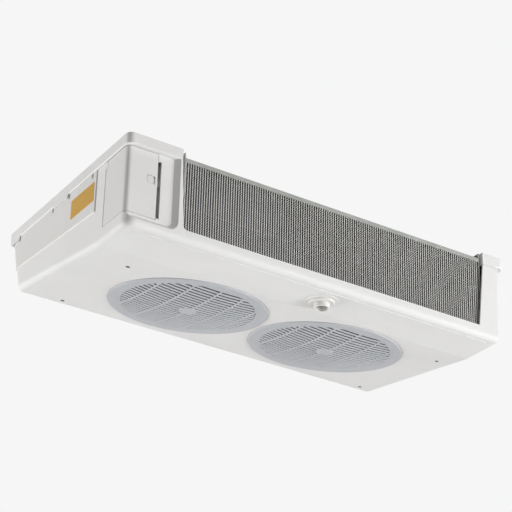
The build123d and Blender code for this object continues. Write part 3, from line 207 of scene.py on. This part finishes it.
LOOK = {
    "top_plate": "galv", "top_collar": "collar", "top_baffle": "sheet", "coil_tubes": "copper", "coil_end_plate_left": "sheet",
    "coil_end_plate_right": "sheet", "end_plate_screws": "screw", "return_bends": "copper", "coil_bottom_seal": "seal",
    "suction_header": "copper", "suction_line": "copper", "liquid_header": "copper", "liquid_line": "copper",
    "pipe_grommets": "black", "cable_gland": "ring", "support_posts": "galv", "hinge_brackets": "galv", "hinge_pins": "steel",
    "lower_casing": "case", "side_panel": "panel", "side_panel_clips": "clip", "blank_plate": "amber", "drip_tray_liner": "sheet",
    "drain_spout": "drain", "drain_gasket": "black", "drain_nut": "drain", "fan_guard_left": "guard", "fan_guard_right": "guard",
    "inlet_ring_left": "ring", "inlet_ring_right": "ring", "guard_screws": "steel", "motor_bracket_left": "galv",
    "motor_bracket_right": "galv", "bracket_screws": "steel", "motor_left": "motor", "motor_right": "motor", "motor_screws": "steel",
    "casing_screws": "screw", "terminal_box": "box", "terminal_lid": "box", "terminal_block": "block", "motor_lead_left": "black",
    "motor_lead_right": "black", "hinge_leaves": "galv", "cover_hinge_pins": "steel", "access_cover": "cover", "cover_latch": "latch",
    "fan_rotor_left": "rotor", "motor_shaft_left": "steel", "fan_rotor_right": "rotor", "motor_shaft_right": "steel",
    "coil_fin_pack": "fin",
}
for node, key in LOOK.items():
    o = NODES[node]
    o.data.materials.clear()
    o.data.materials.append(M[key])


def mesh_object(name, verts, faces, material, smooth=False):
    me = bpy.data.meshes.new(name)
    verts = np.asarray(verts, np.float32)
    faces = np.asarray(faces, np.int32)
    n = faces.shape[1]
    me.vertices.add(len(verts))
    me.vertices.foreach_set("co", verts.ravel())
    me.loops.add(faces.size)
    me.loops.foreach_set("vertex_index", faces.ravel())
    me.polygons.add(len(faces))
    me.polygons.foreach_set("loop_start", np.arange(0, faces.size, n, dtype=np.int32))
    me.polygons.foreach_set("loop_total", np.full(len(faces), n, np.int32))
    me.update(calc_edges=True)
    me.validate()
    me.polygons.foreach_set("use_smooth", np.full(len(me.polygons), smooth))
    me.materials.append(material)
    o = bpy.data.objects.new(name, me)
    bpy.context.scene.collection.objects.link(o)
    return o


def bar_mesh(sections, closed_ends=True):
    """Quads and end caps (as quads) along a list of equal closed sections (n x m x 3)."""
    sec = np.asarray(sections, float)
    n, m = sec.shape[:2]
    idx = np.arange(n * m).reshape(n, m)
    nxt = np.roll(idx, -1, axis=1)
    faces = [np.stack([idx[:-1], nxt[:-1], nxt[1:], idx[1:]], -1).reshape(-1, 4)]
    if closed_ends:
        for ring, flip in ((idx[0], True), (idx[-1], False)):
            h = m // 2
            for j in range(h - 1):
                q = [ring[j], ring[j + 1], ring[m - 2 - j], ring[m - 1 - j]]
                faces.append(np.array([q[::-1] if flip else q]))
    return sec.reshape(-1, 3), np.concatenate(faces)


class Build:
    """Collects bars and lathed rings into one mesh."""

    def __init__(self):
        self.verts, self.faces, self.base = [], [], 0

    def add(self, v, f):
        self.verts.append(np.asarray(v, float))
        self.faces.append(np.asarray(f) + self.base)
        self.base += len(v)

    def bar(self, sections, closed_ends=True):
        self.add(*bar_mesh(sections, closed_ends))

    def lathe(self, profile, steps=128):
        """Closed profile of (radius, height) turned about the local third axis."""
        prof = np.asarray(profile, float)
        ang = np.linspace(0, 2 * pi, steps + 1)[:-1]
        m = len(prof)
        v = np.stack([np.outer(np.cos(ang), prof[:, 0]), np.outer(np.sin(ang), prof[:, 0]), np.tile(prof[:, 1], (steps, 1))], -1)
        idx = np.arange(steps * m).reshape(steps, m)
        nx = np.roll(idx, -1, axis=0)
        f = np.stack([idx, nx, np.roll(nx, -1, axis=1), np.roll(idx, -1, axis=1)], -1).reshape(-1, 4)
        self.add(v.reshape(-1, 3), f)


# ------------------------------------------------------------------ coil fins
# Thin fins with a rolled, crimped front edge, tied by spacer tabs at the tube rows.
COIL_X0, COIL_X1, COIL_H, COIL_D = 118.8, 773.2, 149.6, 100.0
FIN_PITCH = 5.0
ROWS = (19.05, 57.15, 95.25, 133.35)
CRIMP = 5.0


def fin_sheet(s, half, name, material):
    s, half = np.array(s), np.array(half)
    t = np.linspace(0.0, COIL_H, 151)
    ns, nt_ = len(s), len(t)
    ss, tt = np.meshgrid(s, t)                       # (nt, ns)
    hh = np.tile(half, (nt_, 1))
    crimp = np.clip(1 - ss / 7.0, 0, 1) * 0.95
    ripple = 0.5 * np.sin(2 * pi * (ss - 7.0) / 16.0) * (ss > 7.0)
    count = int((COIL_X1 - COIL_X0 - 1.6) // FIN_PITCH) + 1
    idx = np.arange(ns * nt_).reshape(nt_, ns)
    a, b, c, d = idx[:-1, :-1], idx[:-1, 1:], idx[1:, 1:], idx[1:, :-1]
    quads = np.stack([a, b, c, d], -1).reshape(-1, 4)
    N = ns * nt_
    one = [quads[:, ::-1], quads + N]
    for e0, e1 in ((idx[:-1, 0], idx[1:, 0]), (idx[1:, -1], idx[:-1, -1]), (idx[0, 1:], idx[0, :-1]), (idx[-1, :-1], idx[-1, 1:])):
        one.append(np.stack([e0, e1, e1 + N, e0 + N], -1))
    one = np.concatenate(one)
    rng = np.random.default_rng(7)
    verts, faces = [], []
    for k in range(count):
        x = COIL_X0 + 1.2 + k * FIN_PITCH
        lean = rng.normal(0, 0.12)
        shift = rng.normal(0, 0.25)
        wave = np.sin(2 * pi * (tt + shift) / CRIMP)
        off = crimp * wave * (1.0 if k % 2 else 0.85) + ripple + lean * np.sin(pi * tt / COIL_H)
        pinch = hh * (1 + 0.28 * np.cos(4 * pi * (tt + shift) / CRIMP) * (ss < 1.2))
        for sgn in (-1, 1):
            verts.append(np.stack([x + off + sgn * pinch, COIL_Y + 0.1 + ss, COIL_Z + tt], -1).reshape(-1, 3))
        faces.append(one + 2 * N * k)
    return mesh_object(name, PA(np.concatenate(verts)), np.concatenate(faces), material)


# fin bodies carry the dark painted-shade tone
fins = fin_sheet([2.0, 3.2, 4.6, 7.0, 12.0, 22.0, 45.0, 72.0, 99.5], [0.16] * 9, "coil_fins", M["fin"])
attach(fins, "ceiling_frame")
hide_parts("coil_fin_pack")
edges = fin_sheet([0.0, 0.45, 1.1, 2.0], [0.62, 0.78, 0.62, 0.16], "coil_fin_edges", M["fin_edge"])
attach(edges, "ceiling_frame")


def coil_tabs():
    b = Build()
    ang = np.linspace(0, 2 * pi, 13)[:-1]
    for row in ROWS:
        sec = []
        for x in (COIL_X0 + 0.3, COIL_X1 - 0.3):
            sec.append(np.stack([np.full(12, x), COIL_Y + 8.6 + 2.2 * np.cos(ang), COIL_Z + row + 3.0 * np.sin(ang)], -1))
        b.bar(sec)
    return mesh_object("coil_fin_tabs", PA(np.concatenate(b.verts)), np.concatenate(b.faces), M["sheet"], smooth=True)


tabs = coil_tabs()
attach(tabs, "ceiling_frame")

# ------------------------------------------------------------------ fan guards
# Flat ring and a shallow dome of undercut slats, tied by proud front-to-back ribs.
DOME, GRILLE_R, GUARD_R = 8.0, 128.0, 150.0


def dome(r2):
    return -DOME * (1 - r2 / GRILLE_R ** 2)


def guard(i, name):
    b = Build()
    b.lathe([(149.2, -1.9), (131.6, -1.9), (130.9, -1.5), (130.3, -1.5), (129.6, -1.9), (128.0, -1.7), (127.4, -1.1), (127.4, 1.4), (150.0, 1.4), (150.0, -1.1)])
    for k in range(12):
        for sign in (-1, 1):
            c, wide = (sign * (k + 0.5) * 10.75, 6.2) if k < 11 else (sign * 124.6, 7.8)
            h = wide / 2
            prof = np.array([(-h + 0.5, -1.45), (h - 0.5, -1.45), (h, -1.0), (h, -0.2), (1.3, 3.4), (-1.3, 3.4), (-h, -0.2), (-h, -1.0)])
            reach = sqrt(130.5 ** 2 - (abs(c) + 0.4 * h) ** 2) if k < 11 else sqrt(130.5 ** 2 - 124.6 ** 2)
            sec = []
            for x in np.linspace(-reach, reach, 41):
                sec.append(np.stack([np.full(8, x), c + prof[:, 0], dome(x * x + c * c) + prof[:, 1]], -1))
            b.bar(sec)
    for k in range(-2, 3):
        c = k * 51.0
        prof = np.array([(-1.15, -2.05), (1.15, -2.05), (1.6, -1.65), (1.5, 1.0), (1.1, 3.4), (-1.1, 3.4), (-1.5, 1.0), (-1.6, -1.65)])
        reach = sqrt(130.0 ** 2 - c * c)
        sec = []
        for y in np.linspace(-reach, reach, 41):
            sec.append(np.stack([c - prof[:, 0], np.full(8, y), dome(y * y + c * c) + prof[:, 1]], -1))
        b.bar(sec)
    # solid hub disc
    b.lathe([(0.02, -10.3), (15.6, -10.2), (16.7, -9.7), (17.0, -9.0), (17.0, -5.6), (0.02, -5.6)], 64)
    verts, faces = np.concatenate(b.verts), np.concatenate(b.faces)
    o = mesh_object(name, fan_points(i, verts), faces, M["guard"])
    o.data.materials.append(M["guard_painted_shade"])
    # height of each face's middle above the dome and its distance from the fan's axis
    mid = verts[faces].mean(axis=1)
    r2 = (mid[:, :2] ** 2).sum(axis=1)
    # faces well above the dome inside the grille take the dark grey painted-shade material in slot 1
    inner = (mid[:, 2] - dome(r2) > 0.9) & (r2 < 127.0 ** 2)
    o.data.polygons.foreach_set("material_index", inner.astype(np.int32))
    return o


for i, side in enumerate(("left", "right")):
    g = guard(i, "guard_grille_" + side)
    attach(g, "fan_tray")
    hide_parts("fan_guard_" + side)

# ------------------------------------------------------------------ studio
scene = bpy.context.scene
scene.view_settings.view_transform = "Standard"
world = bpy.data.worlds.new("studio")
scene.world = world
world.use_nodes = True
wn = world.node_tree
for n in list(wn.nodes):
    wn.nodes.remove(n)
out = wn.nodes.new("ShaderNodeOutputWorld")
mix = wn.nodes.new("ShaderNodeMixShader")
seen = wn.nodes.new("ShaderNodeBackground")
fill = wn.nodes.new("ShaderNodeBackground")
path = wn.nodes.new("ShaderNodeLightPath")
seen.inputs["Color"].default_value = (0.922, 0.923, 0.924, 1)
fill.inputs["Color"].default_value = (1.0, 0.965, 0.93, 1)
fill.inputs["Strength"].default_value = 0.30
wn.links.new(path.outputs["Is Camera Ray"], mix.inputs["Fac"])
wn.links.new(fill.outputs["Background"], mix.inputs[1])
wn.links.new(seen.outputs["Background"], mix.inputs[2])
wn.links.new(mix.outputs["Shader"], out.inputs["Surface"])


def area(name, where, size, power, colour=(1, 1, 1), target=(0, 0, -0.1)):
    d = bpy.data.lights.new(name, "AREA")
    d.shape = "SQUARE"
    d.size = size
    d.energy = power
    d.color = colour
    o = bpy.data.objects.new(name, d)
    o.location = where
    o.rotation_euler = (Vector(target) - Vector(where)).to_track_quat("-Z", "Y").to_euler()
    scene.collection.objects.link(o)
    return o


area("light_left_back", (-3.4, 2.9, -1.3), 2.2, 148.0, (0.985, 0.99, 1.0))
area("light_right_front", (3.3, -3.6, -1.6), 2.4, 235.0, (0.985, 0.99, 1.0))
area("light_above", (0.0, 0.0, 3.0), 2.0, 40.0)

floor_me = bpy.data.meshes.new("floor")
floor_me.from_pydata([(-9, -9, -2.6), (9, -9, -2.6), (9, 9, -2.6), (-9, 9, -2.6)], [], [(0, 1, 2, 3)])
floor_me.materials.append(plastic("pale_floor", (0.80, 0.80, 0.79), rough=0.8, spread=0.01, grain=60.0, grain_strength=0.05))
floor = bpy.data.objects.new("floor", floor_me)
scene.collection.objects.link(floor)

# ------------------------------------------------------------------ camera
YAW, PITCH, ROLL = 0.5610046, 0.4856209, 0.0253785
fw = Vector((sin(YAW) * cos(PITCH), cos(YAW) * cos(PITCH), sin(PITCH)))
r = Vector((cos(YAW), -sin(YAW), 0))
u = r.cross(fw)
r2 = cos(ROLL) * r + sin(ROLL) * u
u2 = -sin(ROLL) * r + cos(ROLL) * u
cam_data = bpy.data.cameras.new("camera")
cam_data.sensor_width = 36.0
cam_data.lens = 1826.03 * 36.0 / 512.0
cam_data.clip_end = 60.0
cam = bpy.data.objects.new("camera", cam_data)
scene.collection.objects.link(cam)
rot = Matrix((r2, u2, -fw)).transposed().to_4x4()
cam.matrix_world = Matrix.Translation(P(-1243.577, -2400.915, -1465.911)) @ rot
scene.camera = cam
